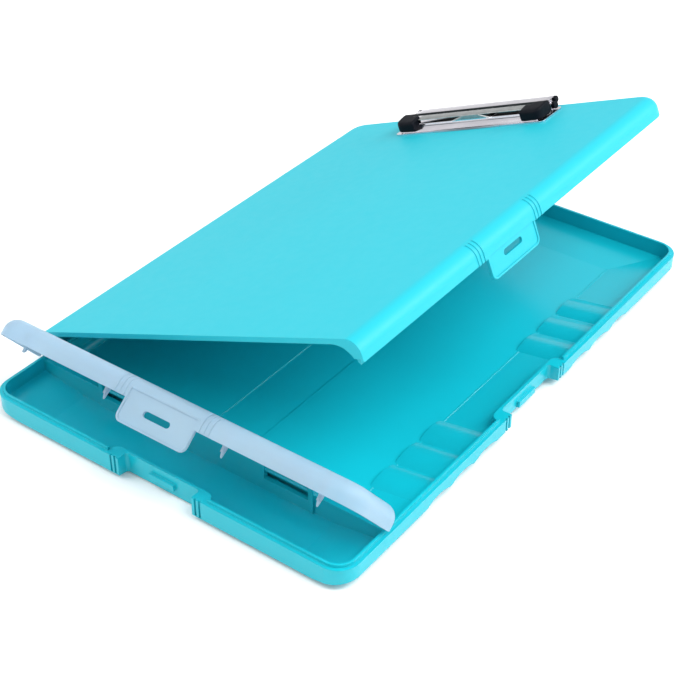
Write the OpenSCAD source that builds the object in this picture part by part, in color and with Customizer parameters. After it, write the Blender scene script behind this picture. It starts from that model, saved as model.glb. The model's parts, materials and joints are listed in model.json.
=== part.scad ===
// Storage clipboard box: a shallow tray with a paper compartment and a pen compartment,
// a side-hinged writing lid with a low-profile clip, and a separate translucent pen door.
// Millimetres. Origin: centre of the tray's underside. +Z up, +Y towards the clip,
// +X towards the lid's latch. The lid and the door are drawn standing open.

/* [Box] */
// Overall width across the tray
body_w = 245; // [235:1:260]
// Overall length of the tray
body_l = 360; // [345:1:380]
// Height of the rim ledge above the underside
rim_z = 14; // [14:0.5:18]
// Radius of the four corners in plan
corner_r = 13; // [11:0.5:18]
// Thickness of the tray's floor
floor_t = 2; // [1.6:0.1:2.6]
// Thickness of the raised lip inside the rim ledge
lip_t = 1.4; // [1.2:0.1:2]
// Height of the raised lip above the ledge
lip_h = 1.7; // [1.2:0.1:2.2]

/* [Covers] */
// Height of the covers above the ledge
cover_h = 12.7; // [12.5:0.1:16]
// Wall thickness of the lid and the door
cover_t = 1.8; // [1.5:0.1:2]
// Radius that rolls the covers' top over into their sides
edge_r = 8; // [6:0.5:9]
// Depth of the stiffening flange along the lid's near edge
flange_h = 3; // [2.5:0.1:4]
// Width of the flange's webs at their foot
web_w = 4.3; // [3.8:0.1:6]
// Radius that widens the webs towards the flange
web_r = 13; // [8:0.5:16]
// Gap between parts that move past each other
gap = 0.3; // [0.25:0.05:0.4]
// Angle at which the lid stands open
lid_open = 22.3; // [0:0.1:60]
// Angle at which the pen door stands open
door_open = 51; // [0:0.5:80]

/* [Pen compartment] */
// Inside depth of the pen compartment, front face to divider
pen_bay = 38.5; // [34:0.5:44]
// Thickness of the hollow divider
divider_t = 9.5; // [9:0.5:12]
// Thickness of the divider's walls
divider_wall = 1.8; // [1.5:0.1:2.2]

/* [Grip bands] */
// Width of the sloping band along the latch side
grip_w = 34.5; // [30:0.5:38]
// Rise of the sloping band at the outer wall
grip_rise = 5.4; // [4:0.1:6]
// Width of the sloping band along the back
back_band_w = 32; // [26:1:36]
// Rise of the sloping band at the back wall
back_rise = 4; // [2.5:0.1:5]
// Number of finger grooves in each group
groove_count = 3; // [2:1:4]
// Pitch of the finger grooves
groove_pitch = 23; // [20:0.5:24]
// Depth of the finger grooves
groove_depth = 2.3; // [1:0.1:2.5]
// Distance from the middle of the box to the nearest groove's centre
groove_start = 51; // [50:0.5:56]
// Height of the bead along the foot of the side band
bead_h = 0.3; // [0.2:0.05:0.5]
// Half width of the sunk strip along the floor
strip_half = 15; // [10:1:25]
// Depth of the sunk strip
strip_d = 0.6; // [0.3:0.1:0.7]

/* [Latches] */
// Width of the latch recesses in the tray
recess_w = 51; // [49:1:58]
// Depth of the latch recesses
recess_d = 6.8; // [6.5:0.1:8]
// Width of the solid blocks at the recess ends
block_w = 9; // [8:0.5:13]
// Radius of the recesses' inner corners
recess_r = 2; // [1:0.5:6]
// Wall left behind a recess
recess_wall = 1.8; // [1.5:0.1:2.5]
// Width of the latch tabs
tab_w = 47; // [40:0.5:47]
// Length of a tab below the rim ledge
tab_drop = 12.8; // [10:0.1:13.2]
// Reach of the hook inside a tab
hook_reach = 2.6; // [1:0.1:3]
// Thickness of the tabs
tab_t = 1.6; // [1.4:0.1:1.8]
// Radius of the tabs' lower corners
tab_r = 4; // [2.5:0.5:5]
// Length of the finger slot in a tab
slot_l = 18; // [14:0.5:24]
// Height of the finger slot in a tab
slot_h = 3.6; // [2.5:0.1:4]

/* [Hinges] */
// Radius of the steel pins of the lid's hinges
lid_pin_r = 1.25; // [1:0.05:1.4]
// Radius of the steel pins of the door's hinges
door_pin_r = 1.25; // [1:0.05:1.4]
// Running clearance round a hinge pin
pin_fit = 0.05; // [0.02:0.01:0.1]
// Outer radius of the lid's hinge barrels
lid_barrel_r = 2.6; // [2.5:0.05:2.7]
// Outer radius of the door's hinge barrels
door_barrel_r = 2.6; // [2.4:0.05:2.7]
// Length of one lid knuckle
knuckle_l = 10; // [8:0.5:12]
// Distance between the middles of the lid's hinges
hinge_pitch = 115; // [100:1:118]
// Distance from the middle of the box to the middle of a door hinge
door_hinge_x = 57.5; // [50:0.5:62]
// Length of a door hinge between its lugs
door_barrel_l = 28.2; // [20:0.2:30]
// Thickness of the door hinge's lugs
lug_t = 3.2; // [2.8:0.1:4]

/* [Clip] */
// Width of the clip's base plate
clip_w = 118; // [110:1:126]
// Depth of the clip's base plate
clip_d = 24.5; // [22:0.5:27]
// Thickness of the clip's sheet steel
sheet_t = 1; // [0.8:0.1:1.1]
// Height of the jaw plate's underside above the lid
jaw_z = 6.7; // [6.6:0.1:7.2]
// Width of a rubber grip at the end of the jaw
grip_len = 20; // [16:1:24]
// Radius of the clip's pivot rod
rod_r = 1.2; // [1:0.05:1.25]
// Radius of the spring's wire
wire_r = 0.45; // [0.35:0.05:0.45]
// Number of turns in each spring coil
coil_turns = 5; // [3:1:7]
// Radius of the clip's rivets
rivet_r = 1.6; // [1.4:0.1:2]

/* [Hidden] */
$fn = 64;
eps = 0.01;
over = 1;

half_w = body_w / 2;
front_y = -body_l / 2;
back_y = body_l / 2;
cover_top = rim_z + cover_h;
skirt_z = rim_z + gap;
ledge_w = cover_t + gap;
rim_t = ledge_w + lip_t;
inner_r = corner_r - rim_t;
lip_top = rim_z + lip_h;

// pen door hinge: the axis lies at the door's rear edge, its barrels flush with the top
door_axis_y = front_y + pen_bay + 4.9;
door_axis_z = cover_top - door_barrel_r;
door_rear = door_axis_y + door_barrel_r;
lid_near = door_rear + 2 * gap;

// divider between the two compartments
divider_y = front_y + pen_bay;
divider_back = divider_y + divider_t;
ridge_top = door_axis_z - door_barrel_r - gap;
ridge_half = door_hinge_x + door_barrel_l / 2 + gap + lug_t;
window_half = door_barrel_l / 2 + gap;
window_z = rim_z - 4.5;
bar_r = 1.2;
foot_h = 2.6;
bead_w = 0.8;
foot_l = 12;

// lid hinge: the axis lies low on the spine side
lid_axis_x = -half_w + lid_barrel_r + 0.1;
lid_axis_z = lid_barrel_r + gap;
spine_in = cover_t + gap;
spine_wall = 2.2;
spine_y0 = lid_near;
spine_y1 = back_y - corner_r - 0.5;
spine_bottom = lid_axis_z + lid_barrel_r + gap + 0.1;
hinge_mid = (spine_y0 + spine_y1) / 2 + 3;
knuckles = 5;
hinge_l = knuckles * knuckle_l;
housing_wall = 1.6;
housing_r = lid_barrel_r + gap + housing_wall;

// latch details
tab_rim = 1.2;
tab_relief = 0.5;
tab_rib = 0.25;
tab_ribs = 5;
lid_tab_up = 2;
door_tab_up = 7;
hook_h = 1.6;
catch_w = 17;
catch_h = 3.8;
catch_z = rim_z - 8.8;
groove_w = 1.3;
groove_cut = 1.1;
groove_in = 2.4;
groove_gap = 2.9;
groove_foot = 2.8;
bulge_r = 5;
fillet_r = 3;
fillet_c = fillet_r - 0.25;
ridge_w = 1.4;
ridge_gap = 3;
ridge_h = 0.4;

// locating prongs inside the covers' skirts
prong_t = 1.8;
lid_prong_drop = 2;
door_prong_drop = 3;
prong_reach = 1.6;
lid_prong_y = [divider_back + gap + prong_t / 2, -45, 44, 129];
door_prong_x = [-100, -40, 40, 100];
door_prong_in = 1.5;

// clip details, measured from the lid's closed top
clip_in = 4.5;
clip_y1 = back_y - edge_r - clip_in;
clip_y0 = clip_y1 - clip_d;
pivot_y = clip_y1 - 4;
pivot_z = 3.8;
ear_t = sheet_t;
ear_x = clip_w / 2 - 4;
ear_r = rod_r + 1.2;
jaw_half = ear_x - ear_t - gap;
jaw_ear_x = jaw_half - ear_t;
lip_y = clip_y0 + 1.5;
lip_z = sheet_t + gap;
lip_rise = 3;
slope_l = 10.5;
slope_end = lip_y + slope_l;
jaw_back = clip_y1 + 1.6;
roll_r = 2.2;
roll_in = 1.4;
window_y = lip_y + 2.2;
window_d = 10;
notch_top = 7;
notch_foot = 15.5;
grip_d = 15;
grip_h = 8.6;
grip_front = 6;
grip_round = 2.2;
rivet_x = 30;
rivet_y = clip_y0 + 9.5;
rivet_head_r = 2.8;
rivet_head_h = 0.9;
coil_r = rod_r + wire_r + 0.25;
coil_x = 7;
coil_pitch = 2 * wire_r;
washer_r = 4;
washer_t = 0.8;
cap_r = 2.3;
cap_l = 2.4;
cap_in = 1.4;

// ---------- shared shapes ----------

// rounded rectangle in plan
module plan(w, l, r) {
    square([w - 2 * r, l], center = true);
    square([w, l - 2 * r], center = true);
    for (sx = [-1, 1])
        for (sy = [-1, 1])
            translate([sx * (w / 2 - r), sy * (l / 2 - r)])
                circle(r);
}

// upright section of a domed slab's border, measured outwards from its inner end
module border_section(reach, h, er, drop) {
    translate([0, -drop])
        square([reach, h - er + drop]);
    translate([0, -drop])
        square([reach - er, h + drop]);
    translate([reach - er, h - er])
        intersection() {
            circle(er);
            square(er);
        }
}

// slab with rounded corners in plan and a rolled top edge
module domed_slab(w, l, h, r, er, drop) {
    translate([0, 0, -drop])
        linear_extrude(h + drop)
            plan(w - 2 * er, l - 2 * er, r - er);
    for (sx = [-1, 1])
        for (sy = [-1, 1])
            translate([sx * (w / 2 - r), sy * (l / 2 - r), 0])
                rotate_extrude()
                    border_section(r, h, er, drop);
    for (a = [0, 180])
        rotate([0, 0, a]) {
            translate([w / 2 - r, l / 2 - r, 0])
                rotate([90, 0, 0])
                    linear_extrude(l - 2 * r)
                        border_section(r, h, er, drop);
            translate([-(w / 2 - r), l / 2 - r, 0])
                rotate([90, 0, 90])
                    linear_extrude(w - 2 * r)
                        border_section(r, h, er, drop);
        }
}

// outside of both covers, standing closed on the rim; inset moves its surface inwards
module cover_outside(inset, drop = 0) {
    translate([0, 0, skirt_z])
        domed_slab(body_w - 2 * inset, body_l - 2 * inset, cover_top - skirt_z - inset,
                   corner_r - inset, edge_r - inset, drop);
}

// turns the closed lid about its hinge to where it stands open
module lid_pose() {
    translate([lid_axis_x, 0, lid_axis_z])
        rotate([0, -lid_open, 0])
            translate([-lid_axis_x, 0, -lid_axis_z])
                children();
}

// turns the closed door about its hinge to where it stands open
module door_pose() {
    translate([0, door_axis_y, door_axis_z])
        rotate([-door_open, 0, 0])
            translate([0, -door_axis_y, -door_axis_z])
                children();
}

// cylinder along Y
module rod_y(r, l, x, y0, z) {
    translate([x, y0 + l, z])
        rotate([90, 0, 0])
            cylinder(r = r, h = l);
}

// cylinder along X
module rod_x(r, l, x0, y, z) {
    translate([x0, y, z])
        rotate([0, 90, 0])
            cylinder(r = r, h = l);
}

// upright plate standing across Y, drawn in the XZ plane
module upright_y(y0, t) {
    translate([0, y0 + t, 0])
        rotate([90, 0, 0])
            linear_extrude(t)
                children();
}

// upright plate standing across X, drawn in the YZ plane
module upright_x(x0, t) {
    translate([x0, 0, 0])
        rotate([90, 0, 90])
            linear_extrude(t)
                children();
}

// the two latch sites: local +Y points outwards, y = 0 on the tray's outer face
module front_latch() {
    translate([0, front_y, 0])
        rotate([0, 0, 180])
            children();
}

module side_latch() {
    translate([half_w, 0, 0])
        rotate([0, 0, -90])
            children();
}

module both_latches() {
    front_latch() children();
    side_latch() children();
}

// ---------- tray ----------

// side band: everything under the slope that rises towards +X
module side_wedge(lift) {
    upright_y(front_y - over, body_l + 2 * over)
        polygon([[half_w - grip_w, lift - 2 * over],
                 [half_w - grip_w, lift],
                 [half_w + over, lift + grip_rise * (1 + over / grip_w)],
                 [half_w + over, lift - 2 * over]]);
}

// back band: everything under the slope that rises towards +Y
module back_wedge(lift) {
    upright_x(-half_w - over, body_w + 2 * over)
        polygon([[back_y - back_band_w, lift - 2 * over],
                 [back_y - back_band_w, lift],
                 [back_y + over, lift + back_rise * (1 + over / back_band_w)],
                 [back_y + over, lift - 2 * over]]);
}

// bodies of the finger grooves, running up the side band
module groove_bodies(grow) {
    reach = groove_pitch * 0.46;
    groove_r = (reach * reach + groove_depth * groove_depth) / (2 * groove_depth);
    slope = atan(grip_rise / grip_w);
    for (side = [-1, 1])
        for (i = [0 : groove_count - 1])
            translate([half_w - grip_w, side * (groove_start + i * groove_pitch), 0])
                rotate([0, -slope, 0])
                    translate([-grow, 0, groove_depth - groove_r])
                        rotate([0, 90, 0])
                            cylinder(r = groove_r + grow, h = 1.3 * grip_w + grow, $fn = 96);
}

// everything below the relieved underside, or below the floor when lifted
module underside(lift) {
    side_wedge(lift);
    back_wedge(lift);
    intersection() {
        mirror([1, 0, 0]) side_wedge(lift);
        translate([-half_w - over, front_y - over, -over])
            cube([grip_w + 2 * over, pen_bay + over, rim_z]);
    }
    intersection() {
        groove_bodies(lift);
        translate([half_w - grip_w - lift, front_y, -over])
            cube([grip_w + lift + over, body_l, rim_z]);
    }
}

// chamfer along the foot of the front wall
module front_foot() {
    upright_x(-half_w - over, body_w + 2 * over)
        polygon([[front_y - over, -over], [front_y - over, foot_h], [front_y + foot_l, 0],
                 [front_y + foot_l, -over]]);
}

// inward bulge that carries a latch recess
module latch_bulge() {
    reach = recess_d + recess_wall;
    bulge_half = recess_w / 2 + block_w;
    linear_extrude(rim_z) {
        translate([-bulge_half + bulge_r, -reach])
            square([2 * (bulge_half - bulge_r), reach]);
        translate([-bulge_half, -reach + bulge_r])
            square([2 * bulge_half, reach - bulge_r]);
        for (sx = [-1, 1]) {
            translate([sx * (bulge_half - bulge_r), -reach + bulge_r])
                circle(bulge_r);
            difference() {
                translate([sx * (bulge_half + fillet_c / 2), -rim_t - fillet_c / 2])
                    square(fillet_c, center = true);
                translate([sx * (bulge_half + fillet_c), -rim_t - fillet_c])
                    circle(fillet_r);
            }
        }
    }
}

// space for the latch tab, with the grooves beside it
module latch_cut() {
    translate([0, 0, -over])
        linear_extrude(rim_z + 3 * over)
            plan(recess_w, 2 * recess_d, recess_r);
    for (sx = [-1, 1])
        for (i = [0, 1])
            translate([sx * (recess_w / 2 + groove_in + i * groove_gap) - groove_w / 2, -groove_cut,
                       groove_foot])
                cube([groove_w, groove_cut + over, rim_z]);
}

// shelf on the recess wall, above the tab's hook
module latch_catch() {
    reach = recess_d - tab_relief - tab_t - hook_reach - gap;
    translate([-catch_w / 2, -recess_d - eps, catch_z])
        cube([catch_w, reach + eps, catch_h]);
}

// raised lip inside the ledge, left out round the latch recesses
module lip() {
    difference() {
        translate([0, 0, rim_z - over])
            linear_extrude(lip_h + over)
                difference() {
                    plan(body_w - 2 * ledge_w, body_l - 2 * ledge_w, corner_r - ledge_w);
                    plan(body_w - 2 * rim_t, body_l - 2 * rim_t, inner_r);
                }
        both_latches()
            translate([-recess_w / 2 - block_w, -2 * rim_t, rim_z])
                cube([recess_w + 2 * block_w, 4 * rim_t, 2 * lip_h]);
    }
}

// folded wall between the compartments, with a taller middle part
module divider() {
    inner_w = body_w - 2 * rim_t + over;
    translate([-inner_w / 2, divider_y, eps])
        cube([inner_w, divider_t, rim_z - eps]);
    translate([-ridge_half, divider_y - 1, eps])
        cube([2 * ridge_half, divider_t + 1, ridge_top - eps]);
}

module divider_hollow() {
    hollow_half = half_w - rim_t - 6;
    translate([-hollow_half, divider_y + divider_wall, -over])
        cube([2 * hollow_half, divider_t - 2 * divider_wall, rim_z - divider_wall + over]);
    translate([-ridge_half + divider_wall, divider_y + divider_wall, -over])
        cube([2 * (ridge_half - divider_wall), divider_t - 2 * divider_wall,
              ridge_top - divider_wall + over]);
}

// opening through the divider's front below a door hinge
module door_window(side) {
    translate([side * door_hinge_x - window_half, divider_y - 2 * over, window_z])
        cube([2 * window_half, divider_t - divider_wall + 2 * over, rim_z]);
}

module door_lugs(side) {
    for (end = [-1, 1])
        translate([side * door_hinge_x + end * (window_half + lug_t / 2) - lug_t / 2, 0, 0]) {
            translate([0, door_axis_y - door_barrel_r, rim_z - over])
                cube([lug_t, 2 * door_barrel_r, door_axis_z - rim_z + over]);
            rod_x(door_barrel_r, lug_t, 0, door_axis_y, door_axis_z);
        }
    rod_x(bar_r, 2 * window_half + 2 * eps, side * door_hinge_x - window_half - eps,
          divider_y + divider_wall / 2, rim_z + 0.8);
}

module door_pin_bore(side, r, extra = 0) {
    inner = door_hinge_x - window_half - lug_t - extra;
    length = 2 * window_half + lug_t + 0.75 * lug_t + extra;
    if (side > 0)
        rod_x(r, length, inner, door_axis_y, door_axis_z);
    else
        mirror([1, 0, 0])
            rod_x(r, length, inner, door_axis_y, door_axis_z);
}

// start of knuckle k in hinge h, along Y
function knuckle_y(h, k) = hinge_mid + h * hinge_pitch - hinge_l / 2 + k * knuckle_l;

// barrels of the lid's hinges: kept is 0 for the tray's knuckles and 1 for the lid's
module lid_knuckles(kept) {
    for (h = [-1 : 1])
        for (k = [kept : 2 : knuckles - 1])
            rod_y(lid_barrel_r, knuckle_l - gap, lid_axis_x, knuckle_y(h, k) + gap / 2, lid_axis_z);
}

// pockets in the tray for the lid's knuckles, open below
module lid_knuckle_pockets() {
    r = lid_barrel_r + gap;
    for (h = [-1 : 1])
        for (k = [1 : 2 : knuckles - 1]) {
            y0 = knuckle_y(h, k) - gap / 2;
            rod_y(r, knuckle_l + gap, lid_axis_x, y0, lid_axis_z);
            translate([lid_axis_x - r - over, y0, -over])
                cube([2 * r + over, knuckle_l + gap, lid_axis_z + over]);
        }
}

module lid_pin_bores(r) {
    for (h = [-1 : 1])
        rod_y(r, hinge_l + 2 * over, lid_axis_x, knuckle_y(h, 0) - over, lid_axis_z);
}

// housings on the inside of the spine wall
module hinge_housings() {
    intersection() {
        for (h = [-1 : 1])
            rod_y(housing_r, hinge_l + 2 * housing_wall, lid_axis_x,
                  knuckle_y(h, 0) - housing_wall, lid_axis_z);
        translate([-half_w + spine_in, front_y, 0])
            cube([2 * housing_r, body_l, rim_z]);
    }
}

// the tray's side is set in where the lid's spine covers it
module spine_rebate() {
    translate([-half_w - over, spine_y0 - gap, -over])
        cube([spine_in + over, spine_y1 - spine_y0 + 2 * gap, rim_z + 2 * over]);
}

// inside of both compartments
module tray_inside() {
    difference() {
        translate([0, 0, floor_t])
            linear_extrude(rim_z + 2 * lip_h)
                plan(body_w - 2 * rim_t, body_l - 2 * rim_t, inner_r);
        underside(floor_t);
        both_latches() latch_bulge();
        translate([-half_w, spine_y0 - spine_wall, 0])
            cube([spine_in + spine_wall, spine_y1 - spine_y0 + 2 * spine_wall, rim_z]);
        hinge_housings();
        divider();
        translate([half_w - grip_w - bead_w / 2, divider_back - over, floor_t - over])
            cube([bead_w, back_y - back_band_w - divider_back + over, bead_h + over]);
    }
    translate([-strip_half, divider_back, floor_t - strip_d])
        cube([2 * strip_half, back_y - back_band_w - divider_back, over]);
}

module tray() {
    color("darkturquoise")
    difference() {
        union() {
            difference() {
                union() {
                    linear_extrude(rim_z)
                        plan(body_w, body_l, corner_r);
                    lip();
                    divider();
                }
                tray_inside();
                spine_rebate();
                door_window(-1);
                door_window(1);
            }
            door_lugs(-1);
            door_lugs(1);
            lid_knuckles(0);
        }
        underside(0);
        front_foot();
        divider_hollow();
        both_latches() latch_cut();
        lid_knuckle_pockets();
        lid_pin_bores(lid_pin_r);
        door_pin_bore(-1, door_pin_r, over);
        door_pin_bore(1, door_pin_r, over);
    }
    color("darkturquoise")
    both_latches() latch_catch();
}

// ---------- covers ----------

// latch tab with a raised rim, fine ribs, a finger slot and a hook inside
module tab_outline(up, shrink) {
    top = rim_z + up - shrink;
    bottom = rim_z - tab_drop + shrink;
    w = tab_w - 2 * shrink;
    r = tab_r - shrink;
    translate([-w / 2, bottom + r])
        square([w, top - bottom - r]);
    translate([-w / 2 + r, bottom])
        square([w - 2 * r, 2 * r]);
    for (sx = [-1, 1])
        translate([sx * (w / 2 - r), bottom + r])
            circle(r);
}

module slot_outline(grow) {
    z = rim_z - 3.4;
    r = slot_h / 2;
    translate([-slot_l / 2 + r, z - r - grow])
        square([slot_l - 2 * r, 2 * (r + grow)]);
    for (sx = [-1, 1])
        translate([sx * (slot_l / 2 - r), z])
            circle(r + grow);
}

module latch_tab(up) {
    inner_y = -tab_relief - tab_t;
    difference() {
        union() {
            upright_y(inner_y, tab_t)
                tab_outline(up, 0);
            upright_y(inner_y + eps, tab_t + tab_relief - eps)
                difference() {
                    tab_outline(up, 0);
                    tab_outline(up, tab_rim);
                }
            upright_y(inner_y + eps, tab_t + tab_relief - eps)
                slot_outline(tab_rim / 2);
            for (i = [1 : tab_ribs])
                translate([-tab_w / 2 + tab_rim / 2, -tab_relief - eps,
                           rim_z - tab_drop + tab_rim + i * (tab_drop - 3) / (tab_ribs + 1)])
                    cube([tab_w - tab_rim, tab_rib + eps, 0.6]);
            translate([-catch_w / 2, inner_y - hook_reach, rim_z - tab_drop + 0.4])
                cube([catch_w, hook_reach + eps, hook_h]);
        }
        upright_y(-4 * tab_t, 8 * tab_t)
            slot_outline(0);
    }
}

// shallow pocket that carries the tab's field up the skirt
module tab_pocket(up) {
    upright_y(-tab_relief, over)
        tab_outline(up, tab_rim);
}

// raised ribs across the rolled edge, beside both ends of a tab
module latch_ridges() {
    intersection() {
        difference() {
            cover_outside(-ridge_h);
            cover_outside(cover_t / 2, over);
        }
        children();
    }
}

module ridge_slices() {
    for (sx = [-1, 1])
        for (i = [0 : 2])
            translate([sx * (tab_w / 2 + 2 + i * ridge_gap) - ridge_w / 2, -edge_r - 0.5, 0])
                cube([ridge_w, edge_r + 3 * over, cover_top - 0.3]);
}

// prong that reaches past the lip; local +Y points outwards from the skirt
module prong(clear, drop) {
    outer = -rim_t - clear;
    upright_x(-prong_t / 2, prong_t)
        polygon([[-cover_t / 2, lip_top + gap], [-cover_t / 2, lip_top + 3.4],
                 [-cover_t - 4.6, cover_top - cover_t / 2], [outer - prong_reach, lip_top + 2],
                 [outer - prong_reach, rim_z - drop + 1.4],
                 [outer - 0.2, rim_z - drop], [outer, lip_top + gap]]);
}

module cover_shell() {
    difference() {
        cover_outside(0);
        cover_outside(cover_t, over);
    }
}

module main_lid_closed() {
    difference() {
        union() {
            intersection() {
                cover_shell();
                translate([-body_w, lid_near, 0])
                    cube([2 * body_w, body_l, 2 * cover_top]);
            }
            near_flange();
            lid_spine();
            side_latch() latch_tab(lid_tab_up);
            latch_ridges()
                side_latch() ridge_slices();
            for (y = lid_prong_y)
                translate([0, y, 0])
                    side_latch() prong(gap, lid_prong_drop);
        }
        side_latch() tab_pocket(lid_tab_up);
        lid_pin_bores(lid_pin_r + pin_fit);
        for (sx = [-1, 1])
            translate([sx * rivet_x, rivet_y, cover_top - cover_t - over])
                cylinder(r = rivet_r, h = cover_t + 2 * over);
    }
}

// flange under the near edge, deepening into a web at each side
module near_flange() {
    intersection() {
        cover_outside(0);
        difference() {
            translate([-body_w, lid_near, lip_top + gap])
                cube([2 * body_w, cover_t, cover_h]);
            upright_y(lid_near - over, cover_t + 2 * over)
                intersection() {
                    plan(body_w - 2 * web_w, 2 * (cover_top - flange_h), web_r);
                    translate([-body_w, 0])
                        square([2 * body_w, cover_top]);
                }
        }
    }
}

// full-height side with the lid's knuckles along its foot
module lid_spine() {
    translate([-half_w, spine_y0, spine_bottom])
        cube([cover_t, spine_y1 - spine_y0, skirt_z + over - spine_bottom]);
    for (h = [-1 : 1])
        for (k = [1 : 2 : knuckles - 1])
            translate([-half_w, knuckle_y(h, k) + gap / 2, lid_axis_z])
                cube([cover_t, knuckle_l - gap, spine_bottom - lid_axis_z + over]);
    lid_knuckles(1);
}

module main_lid() {
    color("mediumturquoise")
    lid_pose() main_lid_closed();
}

module pen_door_closed() {
    skirt_r = door_axis_z - rim_z - gap;
    difference() {
        union() {
            intersection() {
                cover_shell();
                translate([-body_w, front_y - over, 0])
                    cube([2 * body_w, door_rear - front_y + over, 2 * cover_top]);
            }
            for (side = [-1, 1])
                rod_x(door_barrel_r, door_barrel_l, side * door_hinge_x - door_barrel_l / 2,
                      door_axis_y, door_axis_z);
            front_latch() latch_tab(door_tab_up);
            latch_ridges()
                front_latch() ridge_slices();
            for (x = door_prong_x)
                translate([x, 0, 0])
                    front_latch() prong(door_prong_in, door_prong_drop);
        }
        front_latch() tab_pocket(door_tab_up);
        rear_round(door_barrel_r, 0, cover_top);
        rear_round(skirt_r, -cover_top, 0);
        for (side = [-1, 1]) {
            door_pin_bore(side, door_pin_r + pin_fit, over);
            for (end = [-1, 1])
                translate([side * door_hinge_x + end * (window_half + lug_t / 2) - lug_t / 2 - gap,
                           door_axis_y - door_barrel_r - gap, door_axis_z - 2 * door_barrel_r])
                    cube([lug_t + 2 * gap, 4 * door_barrel_r, 4 * door_barrel_r]);
        }
    }
}

// everything behind the hinge axis and outside a radius about it
module rear_round(r, z0, z1) {
    difference() {
        translate([-body_w, door_axis_y, door_axis_z + z0])
            cube([2 * body_w, 2 * body_w, z1 - z0]);
        rod_x(r, 3 * body_w, -1.5 * body_w, door_axis_y, door_axis_z);
    }
}

module pen_door() {
    color("lightcyan")
    door_pose() pen_door_closed();
}

// ---------- hinge pins ----------

module lid_hinge_pin(h) {
    color("silver")
    rod_y(lid_pin_r, hinge_l - over, lid_axis_x, knuckle_y(h, 0) + over / 2, lid_axis_z);
}

module lid_hinge_pin_near() {
    lid_hinge_pin(-1);
}

module lid_hinge_pin_middle() {
    lid_hinge_pin(0);
}

module lid_hinge_pin_far() {
    lid_hinge_pin(1);
}

module door_hinge_pin_left() {
    color("silver")
    door_pin_bore(-1, door_pin_r);
}

module door_hinge_pin_right() {
    color("silver")
    door_pin_bore(1, door_pin_r);
}

// ---------- clip ----------

module clip_pose() {
    lid_pose()
        translate([0, 0, cover_top])
            children();
}

// plate with a round eye at the pivot
module ear(x0, z0, z1, bore) {
    difference() {
        union() {
            translate([x0, pivot_y - ear_r, z0])
                cube([ear_t, 2 * ear_r, z1 - z0]);
            rod_x(ear_r, ear_t, x0, pivot_y, pivot_z);
        }
        rod_x(bore, ear_t + 2 * over, x0 - over, pivot_y, pivot_z);
    }
}

module clip_base() {
    color("lightgray")
    clip_pose() {
        difference() {
            translate([0, (clip_y0 + clip_y1) / 2, 0])
                linear_extrude(sheet_t)
                    plan(clip_w, clip_d, 3);
            for (sx = [-1, 1])
                translate([sx * rivet_x, rivet_y, -over])
                    cylinder(r = rivet_r, h = sheet_t + 2 * over);
        }
        for (x0 = [-ear_x, ear_x - ear_t])
            ear(x0, sheet_t / 2, pivot_z, rod_r);
    }
}

// section of the jaw's sheet: upright front lip, slope, then a flat top over the pivot
module jaw_section() {
    top = jaw_z + sheet_t;
    polygon([[lip_y, lip_z], [lip_y, lip_z + lip_rise + sheet_t], [slope_end, top],
             [jaw_back, top], [jaw_back, jaw_z], [slope_end + 0.4, jaw_z],
             [lip_y + sheet_t, lip_z + lip_rise], [lip_y + sheet_t, lip_z]]);
}

// set-back windows on either side of the middle, drawn in plan
module jaw_windows() {
    window_out = jaw_half - grip_len + 3;
    for (sx = [-1, 1])
        polygon([[sx * notch_foot, window_y], [sx * window_out, window_y],
                 [sx * window_out, window_y + window_d], [sx * notch_top, window_y + window_d]]);
}

module clip_jaw() {
    roll_half = jaw_half - roll_in;
    color("gainsboro")
    clip_pose() {
        difference() {
            upright_x(-jaw_half, 2 * jaw_half)
                jaw_section();
            linear_extrude(2 * jaw_z)
                jaw_windows();
        }
        rod_x(roll_r, 2 * roll_half, -roll_half, jaw_back, jaw_z + sheet_t - roll_r);
        for (x0 = [-jaw_half, jaw_ear_x])
            ear(x0, pivot_z, jaw_z + eps, rod_r + pin_fit);
    }
}

module clip_pivot_rod() {
    length = 2 * (ear_x + cap_in);
    color("silver")
    clip_pose()
        rod_x(rod_r, length, -length / 2, pivot_y, pivot_z);
}

// close-wound coil round the rod, from x0 towards +X
module coil(x0) {
    inner_r = coil_r - wire_r;
    difference() {
        union() {
            rod_x(coil_r + wire_r / 2, coil_turns * coil_pitch, x0, pivot_y, pivot_z);
            for (i = [0 : coil_turns - 1])
                rod_x(coil_r + wire_r, wire_r, x0 + i * coil_pitch + wire_r / 2, pivot_y, pivot_z);
        }
        rod_x(inner_r, coil_turns * coil_pitch + 2 * over, x0 - over, pivot_y, pivot_z);
    }
}

// two coils joined by a bridge under the jaw, with a leg from each to the base plate
module clip_spring() {
    bridge_y = pivot_y - 7;
    leg_rise = coil_r - 0.15;
    leg_x = coil_x + coil_turns * coil_pitch - wire_r - 0.1;
    color("dimgray")
    clip_pose() {
        for (side = [0, 1])
            mirror([side, 0, 0]) {
                coil(coil_x);
                rod_y(wire_r, 9, leg_x, pivot_y - 9, pivot_z - leg_rise);
                rod_y(wire_r, pivot_y - bridge_y, coil_x + wire_r + 0.1, bridge_y, pivot_z + leg_rise);
            }
        rod_x(wire_r, 2 * (coil_x + 2 * wire_r), -coil_x - 2 * wire_r, bridge_y + wire_r / 2,
              pivot_z + leg_rise);
    }
}

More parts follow.
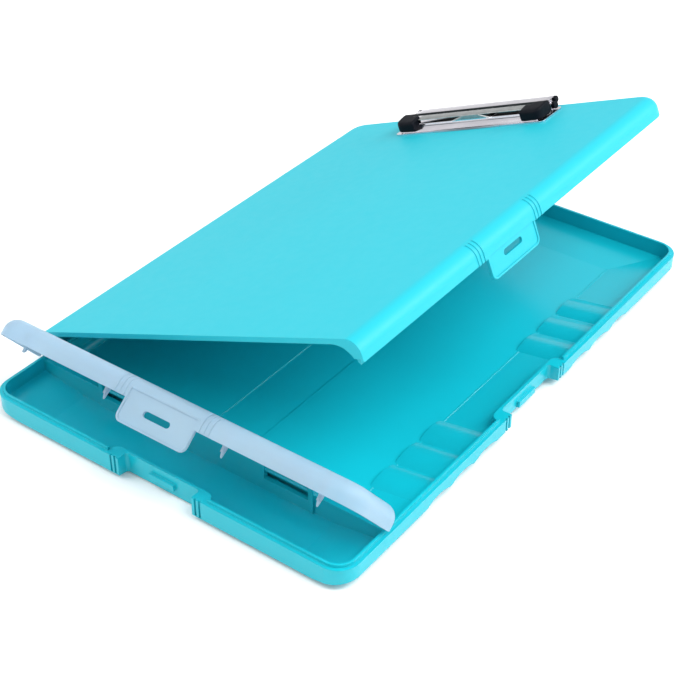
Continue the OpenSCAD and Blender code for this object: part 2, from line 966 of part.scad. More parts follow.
// soft grip pushed over a front corner of the jaw, sloping down to its front
module clip_grip(side) {
    x0 = side > 0 ? ear_x + 2 - grip_len : -ear_x - 2;
    y0 = lip_y - 1.2;
    color([0.07, 0.07, 0.09])
    clip_pose()
    difference() {
        upright_x(x0, grip_len)
            difference() {
                translate([y0 + grip_d / 2, lip_z + grip_h / 2])
                    plan(grip_d, grip_h, grip_round);
                polygon([[y0 - over, lip_z + grip_front], [y0 - over, lip_z + grip_h + over],
                         [slope_end, lip_z + grip_h + over], [slope_end - 1, lip_z + grip_h],
                         [y0, lip_z + grip_front]]);
            }
        upright_x(-jaw_half, 2 * jaw_half)
            jaw_section();
    }
}

module clip_grip_left() {
    clip_grip(-1);
}

module clip_grip_right() {
    clip_grip(1);
}

// end caps on the pivot rod
module clip_rod_caps() {
    color([0.07, 0.07, 0.09])
    clip_pose()
    for (side = [0, 1])
        mirror([side, 0, 0])
            difference() {
                rod_x(cap_r, cap_l, ear_x, pivot_y, pivot_z);
                rod_x(rod_r, cap_in + eps, ear_x - eps, pivot_y, pivot_z);
            }
}

module clip_rivets() {
    color("silver")
    clip_pose()
    for (sx = [-1, 1])
        translate([sx * rivet_x, rivet_y, 0]) {
            translate([0, 0, -cover_t - washer_t - 0.6])
                cylinder(r = rivet_r, h = cover_t + washer_t + 0.6 + sheet_t);
            translate([0, 0, sheet_t])
                rotate_extrude()
                    intersection() {
                        translate([0, rivet_head_h - 4.8])
                            circle(4.8, $fn = 96);
                        square([rivet_head_r, rivet_head_h]);
                    }
            translate([0, 0, -cover_t - washer_t - 0.6])
                cylinder(r = rivet_r + 0.8, h = 0.6);
        }
}

module clip_rivet_washers() {
    color("silver")
    clip_pose()
    for (sx = [-1, 1])
        translate([sx * rivet_x, rivet_y, -cover_t - washer_t])
            difference() {
                cylinder(r = washer_r, h = washer_t);
                translate([0, 0, -over])
                    cylinder(r = rivet_r, h = washer_t + 2 * over);
            }
}

tray();
main_lid();
pen_door();
lid_hinge_pin_near();
lid_hinge_pin_middle();
lid_hinge_pin_far();
door_hinge_pin_left();
door_hinge_pin_right();
clip_base();
clip_jaw();
clip_pivot_rod();
clip_spring();
clip_grip_left();
clip_grip_right();
clip_rod_caps();
clip_rivets();
clip_rivet_washers();
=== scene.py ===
"""Looks for the storage clipboard box: materials, finer pieces, floor, light and camera.

Everything is in metres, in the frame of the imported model: +Z up, +Y towards the clip,
+X towards the lid's latch, origin at the centre of the tray's underside. The sizes of the
clip's and the pen door's own pieces are in millimetres, which on_lid() and in_door() turn
into metres.
"""
import json
import math

import bpy
import numpy as np
from mathutils import Matrix, Vector


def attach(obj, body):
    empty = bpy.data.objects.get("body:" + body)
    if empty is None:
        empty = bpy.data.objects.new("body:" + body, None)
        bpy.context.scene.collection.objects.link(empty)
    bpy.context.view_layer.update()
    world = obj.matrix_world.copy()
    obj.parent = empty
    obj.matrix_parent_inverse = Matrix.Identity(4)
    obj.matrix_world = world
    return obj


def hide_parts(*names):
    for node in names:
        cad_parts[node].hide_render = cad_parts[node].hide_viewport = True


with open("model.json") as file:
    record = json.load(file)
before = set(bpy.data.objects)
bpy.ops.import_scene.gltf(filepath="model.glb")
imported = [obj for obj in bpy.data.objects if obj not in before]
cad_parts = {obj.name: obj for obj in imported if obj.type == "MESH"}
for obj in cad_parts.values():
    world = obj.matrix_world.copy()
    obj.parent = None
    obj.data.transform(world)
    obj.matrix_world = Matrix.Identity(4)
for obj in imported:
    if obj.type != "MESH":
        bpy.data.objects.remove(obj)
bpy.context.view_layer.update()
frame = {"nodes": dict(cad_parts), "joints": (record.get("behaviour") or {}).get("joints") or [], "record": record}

MM = 0.001


def joint(name):
    """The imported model's joint of that name."""
    return next(j for j in frame["joints"] if j["name"] == name)


# ---------------------------------------------------------------- camera

CAMERA_PLACE = Vector((0.4287, -0.5955, 0.5352))
CAMERA_FORWARD = Vector((-0.4801, 0.6472, -0.5921))
CAMERA_UP = Vector((-0.3503, 0.4773, 0.8059))
RENDER_SIDE = 680          # width and height of the render in pixels
FOCAL_PIXELS = 1512.8      # focal length in the same pixels
SENSOR_MM = 36.0
FARTHEST_SEEN = 50.0


def place_camera():
    """Camera looking along CAMERA_FORWARD, its lens in millimetres worked out from
    the focal length in pixels of the square render."""
    data = bpy.data.cameras.new("camera")
    data.sensor_fit = "HORIZONTAL"
    data.sensor_width = SENSOR_MM
    data.lens = FOCAL_PIXELS / RENDER_SIDE * SENSOR_MM
    data.clip_end = FARTHEST_SEEN
    camera = bpy.data.objects.new("camera", data)
    back = -CAMERA_FORWARD.normalized()
    right = CAMERA_UP.cross(back).normalized()
    up = back.cross(right)
    turn = Matrix((right, up, back)).transposed().to_4x4()
    camera.matrix_world = Matrix.Translation(CAMERA_PLACE) @ turn
    bpy.context.scene.collection.objects.link(camera)
    bpy.context.scene.camera = camera


# ---------------------------------------------------------------- light and floor

SOFTBOX_DISTANCE = 1.8
LIGHT_AIM = Vector((0.0, 0.0, 0.05))
WORLD_STRENGTH = 0.80
SOFTBOXES = (              # name, azimuth, elevation, diameter, power
    ("latch_side_soft", 40, 32, 0.9, 17.0),
    ("latch_side_high", 0, 58, 1.0, 19.0),
    ("hinge_side_soft", -140, 45, 1.2, 12.5),
)
FLOOR_HALF = 4.0
FLOOR_GREY = 0.93
FLOOR_ROUGHNESS = 0.9


def softbox(name, azimuth, elevation, diameter, power):
    """Round area light aimed at the box, its angles in degrees, azimuth from +X to +Y, its
    diameter in metres and its power in watts."""
    turn, lift = math.radians(azimuth), math.radians(elevation)
    away = Vector((math.cos(lift) * math.cos(turn),
                   math.cos(lift) * math.sin(turn),
                   math.sin(lift)))
    data = bpy.data.lights.new(name, "AREA")
    data.shape = "DISK"
    data.size = diameter
    data.energy = power
    light = bpy.data.objects.new(name, data)
    light.location = LIGHT_AIM + SOFTBOX_DISTANCE * away
    light.rotation_euler = (-away).to_track_quat("-Z", "Y").to_euler()
    bpy.context.scene.collection.objects.link(light)


def light_studio():
    """Broad soft boxes inside a bright even surround."""
    world = bpy.data.worlds.new("studio")
    world.use_nodes = True
    background = world.node_tree.nodes["Background"]
    background.inputs["Color"].default_value = (1.0, 1.0, 1.0, 1.0)
    background.inputs["Strength"].default_value = WORLD_STRENGTH
    bpy.context.scene.world = world
    for box in SOFTBOXES:
        softbox(*box)
    view = bpy.context.scene.view_settings
    view.view_transform = "Standard"
    view.look = "None"


def lay_floor():
    """Wide pale floor under the box."""
    half = FLOOR_HALF
    corners = [(-half, -half, 0), (half, -half, 0), (half, half, 0), (-half, half, 0)]
    mesh = bpy.data.meshes.new("floor")
    mesh.from_pydata(corners, [], [(0, 1, 2, 3)])
    floor = bpy.data.objects.new("floor", mesh)
    bpy.context.scene.collection.objects.link(floor)
    material = bpy.data.materials.new("pale_floor")
    material.use_nodes = True
    shader = material.node_tree.nodes["Principled BSDF"]
    shader.inputs["Base Color"].default_value = (FLOOR_GREY, FLOOR_GREY, FLOOR_GREY, 1.0)
    shader.inputs["Roughness"].default_value = FLOOR_ROUGHNESS
    mesh.materials.append(material)


# ---------------------------------------------------------------- materials

class Recipe:
    """A node material under construction, with short helpers for its nodes and links."""

    def __init__(self, name):
        self.material = bpy.data.materials.new(name)
        self.material.use_nodes = True
        self.tree = self.material.node_tree
        self.shader = self.tree.nodes["Principled BSDF"]
        self.coords = self.tree.nodes.new("ShaderNodeTexCoord").outputs["Object"]

    def node(self, kind, **settings):
        """New node of a kind, with its settings made."""
        made = self.tree.nodes.new(kind)
        for key, value in settings.items():
            setattr(made, key, value)
        return made

    def link(self, source, target):
        self.tree.links.new(source, target)

    def set(self, **sockets):
        """Constants for the shader's sockets, with _ for a space in a socket's name."""
        for key, value in sockets.items():
            self.shader.inputs[key.replace("_", " ")].default_value = value

    def noise(self, scale, detail=3.0, rough=0.5, stretch=(1.0, 1.0, 1.0)):
        """Noise on Object coordinates: a stretch below one draws it out along that axis."""
        mapping = self.node("ShaderNodeMapping")
        mapping.inputs["Scale"].default_value = stretch
        self.link(self.coords, mapping.inputs["Vector"])
        texture = self.node("ShaderNodeTexNoise")
        texture.inputs["Scale"].default_value = scale
        texture.inputs["Detail"].default_value = detail
        texture.inputs["Roughness"].default_value = rough
        self.link(mapping.outputs["Vector"], texture.inputs["Vector"])
        return texture.outputs["Fac"]

    def blend_colours(self, factor, low, high, near=0.3, far=0.7):
        """Base colour from low, where the factor is at near, to high, where it is at far."""
        ramp = self.node("ShaderNodeValToRGB")
        ramp.color_ramp.elements[0].position = near
        ramp.color_ramp.elements[0].color = (*low, 1.0)
        ramp.color_ramp.elements[1].position = far
        ramp.color_ramp.elements[1].color = (*high, 1.0)
        self.link(factor, ramp.inputs["Fac"])
        self.link(ramp.outputs["Color"], self.shader.inputs["Base Color"])

    def vary_roughness(self, factor, low, high, near=0.0, far=1.0):
        """Roughness from low, where the factor is at near, to high, where it is at far."""
        spread = self.node("ShaderNodeMapRange")
        spread.inputs["From Min"].default_value = near
        spread.inputs["From Max"].default_value = far
        spread.inputs["To Min"].default_value = low
        spread.inputs["To Max"].default_value = high
        self.link(factor, spread.inputs["Value"])
        self.link(spread.outputs["Result"], self.shader.inputs["Roughness"])

    def relief(self, layers, edge=0.0):
        """Bump from (height, distance) layers, over edges rounded by a small radius."""
        normal = None
        if edge > 0:
            rounded = self.node("ShaderNodeBevel", samples=4)
            rounded.inputs["Radius"].default_value = edge
            normal = rounded.outputs["Normal"]
        for height, distance in layers:
            bump = self.node("ShaderNodeBump")
            bump.inputs["Strength"].default_value = 1.0
            bump.inputs["Distance"].default_value = distance
            self.link(height, bump.inputs["Height"])
            if normal is not None:
                self.link(normal, bump.inputs["Normal"])
            normal = bump.outputs["Normal"]
        if normal is not None:
            self.link(normal, self.shader.inputs["Normal"])


def satin_turquoise(name, smooth, rough):
    """Moulded polypropylene: even turquoise, a fine satin grain and slow flow marks.
    Its roughness wanders between smooth and rough."""
    r = Recipe(name)
    flow = r.noise(9.0, 2.0, 0.4, (1.0, 0.25, 1.0))
    r.blend_colours(flow, (0.004, 0.425, 0.520), (0.006, 0.445, 0.540))
    grain = r.noise(2600.0, 2.0, 0.6)
    r.vary_roughness(r.noise(160.0, 4.0), smooth, rough)
    r.relief([(grain, 0.004 * MM), (r.noise(22.0, 2.0), 0.08 * MM)], edge=0.45 * MM)
    r.set(IOR=1.49, Specular_IOR_Level=0.38)
    return r.material


def frosted_clear():
    """Frosted polypropylene that lets blurred light through, faintly blue and milky."""
    r = Recipe("frosted_clear")
    cloud = r.noise(14.0, 3.0, 0.5)
    r.blend_colours(cloud, (0.45, 0.64, 0.79), (0.54, 0.71, 0.83))
    grain = r.noise(2200.0, 2.0, 0.6)
    streaks = r.noise(60.0, 3.0, 0.5, (0.08, 1.0, 1.0))
    r.vary_roughness(r.noise(120.0, 4.0), 0.38, 0.50)
    r.relief([(grain, 0.015 * MM), (streaks, 0.05 * MM)], edge=0.4 * MM)
    r.set(IOR=1.3, Transmission_Weight=0.55, Specular_IOR_Level=0.5)
    return r.material


def bright_nickel():
    """Plated sheet steel: sharp reflections with faint drawing lines along its length."""
    r = Recipe("bright_nickel")
    lines = r.noise(500.0, 3.0, 0.6, (0.04, 1.0, 1.0))
    r.blend_colours(r.noise(60.0, 3.0), (0.66, 0.645, 0.70), (0.75, 0.735, 0.79))
    r.vary_roughness(lines, 0.08, 0.20)
    r.relief([(lines, 0.01 * MM)], edge=0.3 * MM)
    r.set(Metallic=1.0)
    return r.material


def plain_steel():
    """Turned steel pins and rivets with fine rings of wear."""
    r = Recipe("plain_steel")
    marks = r.noise(900.0, 3.0, 0.7)
    r.blend_colours(r.noise(220.0, 3.0), (0.27, 0.29, 0.29), (0.38, 0.40, 0.40))
    r.vary_roughness(marks, 0.22, 0.42)
    r.relief([(marks, 0.01 * MM)], edge=0.15 * MM)
    r.set(Metallic=1.0)
    return r.material


def oiled_spring_wire():
    """Dark drawn wire with a thin film of oil."""
    r = Recipe("oiled_spring_wire")
    marks = r.noise(1400.0, 3.0, 0.7)
    r.blend_colours(r.noise(300.0, 3.0), (0.10, 0.10, 0.11), (0.22, 0.22, 0.24))
    r.vary_roughness(marks, 0.2, 0.4)
    r.relief([(marks, 0.01 * MM)])
    r.set(Metallic=1.0, Coat_Weight=0.3, Coat_Roughness=0.1)
    return r.material


def soft_black():
    """Soft black rubber with a faint blue cast, a fine grain and duller patches."""
    r = Recipe("soft_black")
    patches = r.noise(70.0, 4.0, 0.6)
    r.blend_colours(patches, (0.0015, 0.0025, 0.0050), (0.005, 0.006, 0.010))
    grain = r.noise(1800.0, 2.0, 0.6)
    r.vary_roughness(patches, 0.38, 0.58)
    r.relief([(grain, 0.03 * MM)], edge=0.5 * MM)
    r.set(Specular_IOR_Level=0.08)
    return r.material


PAINTED_SHADE_AHEAD = 7          # millimetres from the pivot forwards to the middle of the painted shade under the jaw
PAINTED_SHADE_REACH = (64, 17, 64)       # its reach in millimetres along, across and above the pivot
PAINTED_SHADE_EDGE = 0.08        # value of the gradient where the bright plating starts to darken into painted shade


def nickel_base_painted_shade():
    """The same plating on the plate under the jaw, darkened towards its covered middle by painted
    shade: a ball gradient, stretched to the plate's length, is laid along the pivot."""
    r = Recipe("nickel_base_painted_shade")
    pivot = joint("clip_jaw_pivot")
    tilt = math.atan2(-pivot["axis"][2], -pivot["axis"][0])
    centre = r.node("ShaderNodeMapping", vector_type="TEXTURE")
    x, y, z = pivot["pos_m"]
    centre.inputs["Location"].default_value = (x, y - PAINTED_SHADE_AHEAD * MM, z)
    centre.inputs["Rotation"].default_value = (0.0, -tilt, 0.0)
    centre.inputs["Scale"].default_value = [reach * MM for reach in PAINTED_SHADE_REACH]
    r.link(r.coords, centre.inputs["Vector"])
    ball = r.node("ShaderNodeTexGradient", gradient_type="SPHERICAL")
    r.link(centre.outputs["Vector"], ball.inputs["Vector"])
    # painted shade: the bright plating at the rim turns near black, and rougher, under the jaw
    r.blend_colours(ball.outputs["Fac"], (0.72, 0.70, 0.76), (0.022, 0.028, 0.030),
                    near=PAINTED_SHADE_EDGE, far=0.30)
    r.vary_roughness(ball.outputs["Fac"], 0.15, 0.85, near=PAINTED_SHADE_EDGE, far=0.25)
    r.relief([(r.noise(400.0, 3.0), 0.01 * MM)], edge=0.3 * MM)
    r.set(Metallic=1.0)
    return r.material


def shaded_steel():
    """Unpolished steel painted dark as shade, for the jaw's underside and its pressed groove."""
    r = Recipe("shaded_steel")
    marks = r.noise(700.0, 3.0, 0.7)
    # painted shade: near-black colour standing in for the shade under and inside the jaw
    r.blend_colours(r.noise(180.0, 3.0), (0.010, 0.014, 0.016), (0.030, 0.036, 0.038))
    r.vary_roughness(marks, 0.60, 0.80)
    r.relief([(marks, 0.01 * MM)])
    r.set(Metallic=0.3, Specular_IOR_Level=0.1)
    return r.material


FINISH = {
    "tray_plastic": satin_turquoise("satin_turquoise", 0.17, 0.25),
    "frosted_plastic": frosted_clear(),
    "plated_steel": bright_nickel(),
    "steel": plain_steel(),
    "spring_steel": oiled_spring_wire(),
    "black_rubber": soft_black(),
}
SHADED_STEEL = shaded_steel()
OWN_FINISH = {"clip_base": nickel_base_painted_shade(),
              "main_lid": satin_turquoise("matt_turquoise", 0.46, 0.56)}


def finish_nodes():
    """Every node of the frame takes its own finish, or else the one of its material slot."""
    for part in frame["record"]["subparts"]:
        mesh = frame["nodes"][part["node"]].data
        material = OWN_FINISH.get(part["node"], FINISH[part["material_slot"]])
        if not mesh.materials:
            mesh.materials.append(material)
        for index in range(len(mesh.materials)):
            mesh.materials[index] = material


# ---------------------------------------------------------------- the clip's frame

PIVOT_Y = 163.5            # the pivot rod's place in the clip, in millimetres
PIVOT_Z = 3.8              # and its height above the lid


def on_lid(x, y, z):
    """Clip millimetres (x across from the middle, y towards the back, z above the lid)
    turned into metres at rest: the pivot's place plus each offset along the lid's own axes,
    of which x runs along the pivot."""
    pivot = joint("clip_jaw_pivot")
    across = -np.array(pivot["axis"])
    back = np.array([0.0, 1.0, 0.0])
    up = np.cross(across, back)
    x, y, z = np.broadcast_arrays(x, y, z)
    offsets = (x[..., None] * across + (y[..., None] - PIVOT_Y) * back
               + (z[..., None] - PIVOT_Z) * up)
    return np.array(pivot["pos_m"]) + MM * offsets


# ---------------------------------------------------------------- surfaces on a grid

def grid_faces(rows, columns, close_rows=False, close_columns=False):
    """Quads between neighbouring points of a grid, wrapped round where a direction is closed."""
    i = np.arange(rows if close_rows else rows - 1)[:, None]
    j = np.arange(columns if close_columns else columns - 1)[None, :]
    row, next_row = i * columns, (i + 1) % rows * columns
    next_j = (j + 1) % columns
    return np.stack([row + j, row + next_j, next_row + next_j, next_row + j], axis=-1)


def tube_faces(rows, columns, inside_out):
    """Faces of a tube of closed rows, with a polygon over the first row and one over the
    last, all turned round where the rows run the other way."""
    sides = grid_faces(rows, columns, close_columns=True).reshape(-1, 4).tolist()
    ring = np.arange(columns)
    faces = sides + [ring[::-1].tolist(), ((rows - 1) * columns + ring).tolist()]
    return [face[::-1] for face in faces] if inside_out else faces


def squared_circle(steps, power):
    """Cosines and sines of one turn with their sizes raised to 2 / power, the points of
    |y|^power + |z|^power = 1: a circle for 2, nearer to a square the higher the power."""
    angle = np.linspace(0.0, 2.0 * math.pi, steps, endpoint=False)[None, :]
    y, z = np.cos(angle), np.sin(angle)
    return np.sign(y) * np.abs(y) ** (2.0 / power), np.sign(z) * np.abs(z) ** (2.0 / power)


def add_piece(name, points, faces, body, node, materials, smooth_angle=40.0):
    """Mesh piece that rides on a body, and stands for a node of the frame where one is named."""
    mesh = bpy.data.meshes.new(name)
    mesh.from_pydata(points.reshape(-1, 3).tolist(), [], faces)
    mesh.update()
    mesh.set_sharp_from_angle(angle=math.radians(smooth_angle))
    for material in materials:
        mesh.materials.append(material)
    piece = bpy.data.objects.new(name, mesh)
    bpy.context.scene.collection.objects.link(piece)
    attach(piece, body)
    if node:
        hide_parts(node)
    return piece


def rounded_path(corners, radii, steps=7):
    """Open line through the corners with each inner corner replaced by an arc of its radius:
    the arc leaves and meets the straight runs at radius * tan(half the turn) from the corner."""
    corners = np.asarray(corners, float)
    line = [corners[:1]]
    for before, corner, after, radius in zip(corners, corners[1:], corners[2:], radii):
        u = (before - corner) / np.linalg.norm(before - corner)
        v = (after - corner) / np.linalg.norm(after - corner)
        half = 0.5 * math.acos(float(np.clip(u @ v, -1.0, 1.0)))
        reach = radius / math.tan(half)
        centre = corner + (u + v) / np.linalg.norm(u + v) * radius / math.sin(half)
        a, b = corner + u * reach - centre, corner + v * reach - centre
        t = np.linspace(0.0, 1.0, steps)[:, None]
        swing = math.pi - 2.0 * half
        arc = (np.sin((1.0 - t) * swing) * a + np.sin(t * swing) * b) / math.sin(swing)
        line.append(centre + arc)
    line.append(corners[-1:])
    return np.concatenate(line)


# ---------------------------------------------------------------- the jaw

JAW_HALF = 53.7            # half the jaw's width
JAW_TOP = 7.7              # top of its plate above the lid
SHEET = 0.8                # thickness of its sheet
LIP_Y = 144.5              # place and height of its front edge
LIP_Z = 1.4
FLANGE_BACK = 150.2        # where the sloping front flange meets the upright face
FLANGE_TOP = 3.4
UPRIGHT_LEAN = 0.05        # how far the upright face leans back
GROOVE_Y = 159.6           # middle of the pressed groove along the top
GROOVE_HALF = 2.3          # half its width at the top and at its floor
GROOVE_FLOOR_HALF = 1.2
GROOVE_DEPTH = 1.1
BENDS = (0.8, 0.9, 0.7, 0.4, 0.4, 0.7)     # radii of the sheet's bends, front to back
CURL_Y = 169.1             # centre of the curled rear edge
CURL_R = 2.1
WINDOW_FOOT = 4.5          # bottom and top of the windows in the upright face
WINDOW_HEAD = 7.0
NOTCH_FOOT = 15.5          # half width of the middle plate at the windows' foot and head
NOTCH_HEAD = 7.0
WINDOW_OUT = 43.0          # outer end of a window
MIDDLE_CELLS = 8           # cells of the sheet across the middle plate, a window and an end
WINDOW_CELLS = 6
END_CELLS = 3
NICKEL, GROOVE_SHADE, BAND_REFLECTION = 0, 1, 2      # the sheet's materials in their order: plating, painted shade, and plain steel as a painted duller reflection
REFLECTION_BAND_GAP = 0.8             # the band of painted reflection stops this far before the groove
GROOVE_LEAST = 0.05        # cells less deep than this don't count as the groove's,
GROOVE_BEHIND = 1.0        # nor do cells further than this behind it
HAIR = 0.01                # smaller differences in height don't count at all


def jaw_line():
    """Outer line of the jaw's sheet, front to back: a sloping flange, a steep face, a flat top
    with one pressed groove, and a curl of three quarters of a circle at the back."""
    top, floor = JAW_TOP, JAW_TOP - GROOVE_DEPTH
    corners = [(LIP_Y, LIP_Z), (FLANGE_BACK, FLANGE_TOP), (FLANGE_BACK + UPRIGHT_LEAN, top),
               (GROOVE_Y - GROOVE_HALF, top), (GROOVE_Y - GROOVE_FLOOR_HALF, floor),
               (GROOVE_Y + GROOVE_FLOOR_HALF, floor), (GROOVE_Y + GROOVE_HALF, top), (CURL_Y, top)]
    turn = np.linspace(0.0, 1.5 * math.pi, 25)[1:]
    curl = np.stack([CURL_Y + CURL_R * np.sin(turn), top - CURL_R + CURL_R * np.cos(turn)], axis=1)
    return np.concatenate([rounded_path(corners, BENDS), curl])


def window_rows(line):
    """The line with points put exactly at the foot and the head of the windows."""
    for height in (WINDOW_FOOT, WINDOW_HEAD):
        place = int(np.argmax(line[:, 1] > height))
        low, high = line[place - 1], line[place]
        share = (height - low[1]) / (high[1] - low[1])
        line = np.insert(line, place, low + share * (high - low), axis=0)
    return line


def jaw_columns(line):
    """Place x of every column at every point of the line. The edges of the middle plate move
    inwards from its foot to its head in proportion to the height; its own columns, those of
    the windows beside it and those of the ends then share each stretch evenly."""
    rise = np.clip((line[:, 1:] - WINDOW_FOOT) / (WINDOW_HEAD - WINDOW_FOOT), 0.0, 1.0)
    notch = NOTCH_FOOT + rise * (NOTCH_HEAD - NOTCH_FOOT)
    middle = np.linspace(-1.0, 1.0, MIDDLE_CELLS + 1) * notch
    window = notch + np.linspace(0.0, 1.0, WINDOW_CELLS + 1)[1:] * (WINDOW_OUT - notch)
    end = np.linspace(WINDOW_OUT, JAW_HALF, END_CELLS + 1)[1:]
    side = np.concatenate([window, np.broadcast_to(end, (len(line), END_CELLS))], axis=1)
    return np.concatenate([-side[:, ::-1], middle, side], axis=1)


def jaw_cells(line, columns):
    """Which cells of the sheet are kept, and the material of each. The windows are whole cells
    that are left out. The groove is painted dark as shade, and the upright face with the front
    of the top takes plain steel between the ends as a painted duller reflection."""
    start, height = line[:-1], 0.5 * (line[:-1, 1] + line[1:, 1])
    row, cell = np.arange(len(height)), np.arange(columns - 1)
    from_end = np.minimum(cell, cell[::-1])
    before_top = row < np.argmax(line[:, 1] > JAW_TOP - HAIR)
    open_rows = before_top & (height > WINDOW_FOOT) & (height < WINDOW_HEAD)
    open_columns = (from_end >= END_CELLS) & (from_end < END_CELLS + WINDOW_CELLS)
    groove = (~before_top & (height < JAW_TOP - GROOVE_LEAST)
              & (start[:, 0] < GROOVE_Y + GROOVE_HALF + GROOVE_BEHIND))
    reflection_band = ((start[:, 1] > WINDOW_FOOT - HAIR) & (row <= np.argmax(groove))
            & (start[:, 0] < GROOVE_Y - GROOVE_HALF - REFLECTION_BAND_GAP))
    steel = reflection_band[:, None] & (from_end >= END_CELLS)
    # painted shade in the groove, and a painted duller reflection in plain steel on the band between the ends
    finish = np.where(groove[:, None], GROOVE_SHADE, np.where(steel, BAND_REFLECTION, NICKEL))
    return ~(open_rows[:, None] & open_columns), finish.astype(np.int32)


def jaw_sheet():
    """Surface x(u, v) of the bent sheet: v walks the jaw's line and u crosses it, column by
    column. A wall then gives it its thickness, downwards from the outer face."""
    line = window_rows(jaw_line())
    x = jaw_columns(line)
    kept, finish = jaw_cells(line, x.shape[1])
    piece = add_piece("jaw_sheet", on_lid(x, line[:, :1], line[:, 1:]),
                      grid_faces(*x.shape)[kept].tolist(), "jaw", "clip_jaw",
                      [FINISH["plated_steel"], SHADED_STEEL, FINISH["steel"]])
    piece.data.polygons.foreach_set("material_index", finish[kept])
    wall = piece.modifiers.new("wall", "SOLIDIFY")
    wall.thickness = SHEET * MM
    wall.offset = -1.0
    # the inner faces take the next material along: mostly shaded_steel, whose darkness is painted shade
    wall.material_offset = 1
    wall.material_offset_rim = 0
    wall.use_even_offset = True


EAR_OUT = 2.4              # radius of a jaw ear's round end about the rod
EAR_BORE = 1.45            # radius of its hole
EAR_THICK = 1.0
TINY = 1e-6                # keeps a division off zero


def jaw_ear(name, x_outer, side):
    """Flat ear round the pivot rod: for each angle the outer reach is the nearer of the ear's
    straight sides and its top above the rod, and its radius below; the inner reach is the bore.
    Four such loops, joined outer to outer and inner to inner, close the plate."""
    angle = np.linspace(0.0, 2.0 * math.pi, 64, endpoint=False)
    height = JAW_TOP - SHEET / 2 - PIVOT_Z
    sides = EAR_OUT / np.maximum(np.abs(np.cos(angle)), TINY)
    roof = np.where(np.sin(angle) > 0, height / np.maximum(np.sin(angle), TINY), EAR_OUT)
    reach = np.where(np.sin(angle) > 0, np.minimum(sides, roof), EAR_OUT)
    x_inner = x_outer - side * EAR_THICK
    loops = ((x_outer, reach), (x_inner, reach), (x_inner, EAR_BORE), (x_outer, EAR_BORE))
    points = np.stack([on_lid(x, PIVOT_Y + r * np.cos(angle), PIVOT_Z + r * np.sin(angle))
                       for x, r in loops], axis=0)
    faces = grid_faces(4, len(angle), close_rows=True, close_columns=True)
    faces = faces[..., ::-1] if side > 0 else faces
    add_piece(name, points, faces.reshape(-1, 4).tolist(), "jaw", "clip_jaw",
              [FINISH["plated_steel"]])


PLUG_IN = 1.5              # how far a plug goes into the curled edge
PLUG_OUT = 1.6             # and how far it stands out of it
PLUG_PROUD = 0.05          # its radius over the curl's
PLUG_RIM = 0.7             # rounding of its rims


def curl_plug(name, side):
    """Surface of revolution about the curl's centre line: the profile runs from a small flat
    inside the curl to one outside it, both rims rounded by quarter circles, and its radius is
    carried round a full circle."""
    inner, outer = JAW_HALF - PLUG_IN, JAW_HALF + PLUG_OUT
    t = np.linspace(0.0, 0.5 * math.pi, 7)
    falls = PLUG_RIM * (1 - np.cos(t)), PLUG_RIM * (1 - np.sin(t))
    x = np.concatenate([inner + falls[0], outer - falls[1]])[:, None]
    radius = CURL_R + PLUG_PROUD - np.concatenate(falls[::-1])[:, None]
    angle = np.linspace(0.0, 2.0 * math.pi, 40, endpoint=False)[None, :]
    points = on_lid(side * x, CURL_Y + radius * np.cos(angle),
                    JAW_TOP - CURL_R + radius * np.sin(angle))
    add_piece(name, points, tube_faces(len(x), angle.size, inside_out=side < 0), "jaw",
              None, [FINISH["black_rubber"]])


# ---------------------------------------------------------------- the grips

GRIP_IN = 42.5             # inner and outer end of a grip
GRIP_OUT = 57.0
GRIP_FRONT = 143.4
GRIP_BACK = 158.2
GRIP_LOW = 1.35
GRIP_TOP = 9.8
GRIP_CORNER = 4.5          # radius of its front outer corner
GRIP_SOFT = 1.0            # rounding of both its ends
GRIP_SQUARENESS = 5.0      # power of its rounded box sections
GRIP_STEP = 153.6          # how far back its inner half reaches
STEP_FROM = 4.0            # the back steps out from here, counted from the inner end
STEP_LENGTH = 3.0
GRIP_FALL = 1.5            # drop of its top towards its front
GRIP_LEVEL = 4.0           # depth of the level strip along the back


def corner_grip(name, side, node):
    """Soft cap over a front corner of the jaw. Sections in y and z are rounded boxes,
    |y/a|^n + |z/b|^n = 1, set along x: the front follows a quarter circle at the outer corner,
    the back steps from the short inner half to the long outer one, both ends close with a
    circular rounding, and the top falls towards the front."""
    along = np.linspace(0.0, 1.0, 41)
    x = GRIP_IN + (GRIP_OUT - GRIP_IN) * (0.5 - 0.5 * np.cos(math.pi * along))
    to_end = np.minimum(x - GRIP_IN, GRIP_OUT - x)
    rounding = GRIP_SOFT ** 2 - np.maximum(GRIP_SOFT - to_end, 0.0) ** 2
    inset = GRIP_SOFT - np.sqrt(np.maximum(rounding, 0.0))
    over = np.maximum(x - (GRIP_OUT - GRIP_CORNER), 0.0)
    front = (GRIP_FRONT + GRIP_CORNER
             - np.sqrt(np.maximum(GRIP_CORNER ** 2 - over ** 2, 0.0)))
    blend = np.clip((x - (GRIP_IN + STEP_FROM)) / STEP_LENGTH, 0.0, 1.0)
    back = GRIP_STEP + (GRIP_BACK - GRIP_STEP) * blend * blend * (3.0 - 2.0 * blend)
    half_y = 0.5 * (back - front) - inset
    half_z = 0.5 * (GRIP_TOP - GRIP_LOW) - inset
    round_y, round_z = squared_circle(72, GRIP_SQUARENESS)
    y = 0.5 * (back + front)[:, None] + half_y[:, None] * round_y
    z = 0.5 * (GRIP_TOP + GRIP_LOW) + half_z[:, None] * round_z
    level = GRIP_BACK - GRIP_LEVEL
    ahead = np.clip((level - y) / (level - GRIP_FRONT), 0.0, 1.0)
    z = z - GRIP_FALL * ahead * np.clip((z - GRIP_LOW) / (GRIP_TOP - GRIP_LOW), 0.0, 1.0)
    points = on_lid(side * x[:, None], y, z)
    add_piece(name, points, tube_faces(*y.shape, inside_out=side < 0), "jaw",
              node, [FINISH["black_rubber"]], smooth_angle=60.0)


# ---------------------------------------------------------------- fins inside the pen door

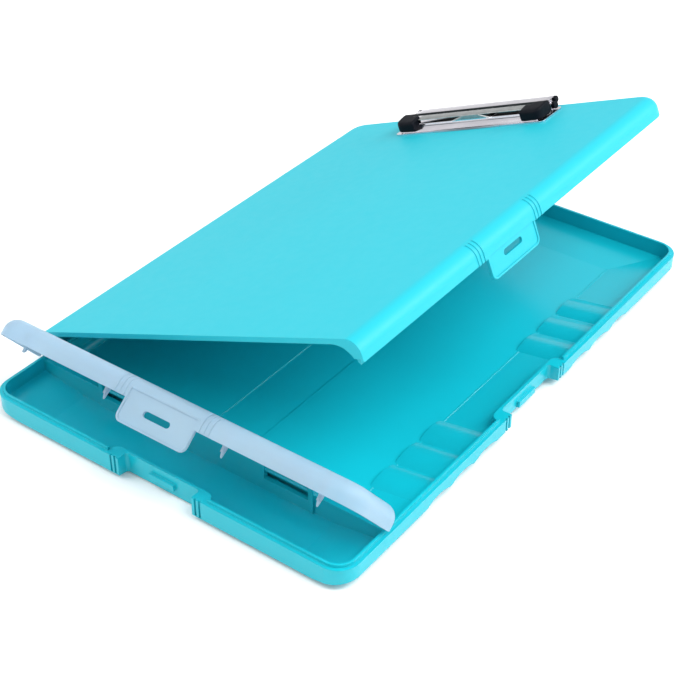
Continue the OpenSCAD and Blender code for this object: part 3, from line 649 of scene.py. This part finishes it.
FIN_PLACES = (-40.0, 40.0, 100.0)  # the fins' places in x
FIN_Y = -174.1             # middle of a fin's root, with the door shut
FIN_ROOT = 16.5            # height of its root and of its tip, with the door shut
FIN_TIP = 8.2
FIN_ROOT_HALF = (1.6, 2.0)         # half its size in x and y at the root and near the tip
FIN_TIP_HALF = (0.45, 0.4)
FIN_LEAN = 1.6             # how far the tip lies further in than the root
FIN_SQUARENESS = 4.0       # power of its sections
BLUNT_LENGTH = 0.1         # share of its height over which the tip is rounded
BLUNT_AREA = 0.2           # share of the section's area that is left at the very tip


def in_door(x, y, z):
    """Millimetres in the shut door turned into metres at rest: the offset from the hinge line
    is turned about x by the angle at which the door stands open."""
    hinge = joint("pen_door_hinge")
    angle = math.radians(hinge["range_deg"][0])
    _, axis_y, axis_z = hinge["pos_m"]
    x, y, z = np.broadcast_arrays(x, y, z)
    dy, dz = y * MM - axis_y, z * MM - axis_z
    return np.stack([x * MM, axis_y + dy * math.cos(angle) - dz * math.sin(angle),
                     axis_z + dy * math.sin(angle) + dz * math.cos(angle)], axis=-1)


def door_fin(name, x):
    """Tapered locating fin: sections |x/a|^4 + |y/b|^4 = 1 whose half sizes fall in a straight
    line from the root to a blunt tip, while the fin leans in towards that tip."""
    share = np.linspace(0.0, 1.0, 16)[:, None]
    past = np.maximum(share - (1.0 - BLUNT_LENGTH), 0.0) / BLUNT_LENGTH
    blunt = np.sqrt(1.0 - (1.0 - BLUNT_AREA) * past ** 2)
    half_x, half_y = ((root + share * (tip - root)) * blunt
                      for root, tip in zip(FIN_ROOT_HALF, FIN_TIP_HALF))
    round_x, round_y = squared_circle(40, FIN_SQUARENESS)
    fin_x = x + half_x * round_x
    fin_y = FIN_Y + FIN_LEAN * share + half_y * round_y
    fin_z = FIN_ROOT + share * (FIN_TIP - FIN_ROOT)
    add_piece(name, in_door(fin_x, fin_y, fin_z), tube_faces(*fin_x.shape, inside_out=True),
              "door", None, [FINISH["frosted_plastic"]])


# ---------------------------------------------------------------- putting it together

def dress_door():
    """Fins hanging from the skirt of the pen door."""
    for number, x in enumerate(FIN_PLACES, 1):
        door_fin(f"door_fin_{number}", x)


def dress_clip():
    """Sheet jaw with its ears, soft corner grips, and plugs in the ends of the curled edge."""
    jaw_sheet()
    jaw_ear("jaw_ear_left", -JAW_HALF, -1)
    jaw_ear("jaw_ear_right", JAW_HALF, 1)
    corner_grip("grip_cap_left", -1, "clip_grip_left")
    corner_grip("grip_cap_right", 1, "clip_grip_right")
    curl_plug("curl_plug_left", -1)
    curl_plug("curl_plug_right", 1)


place_camera()
light_studio()
lay_floor()
finish_nodes()
dress_clip()
dress_door()
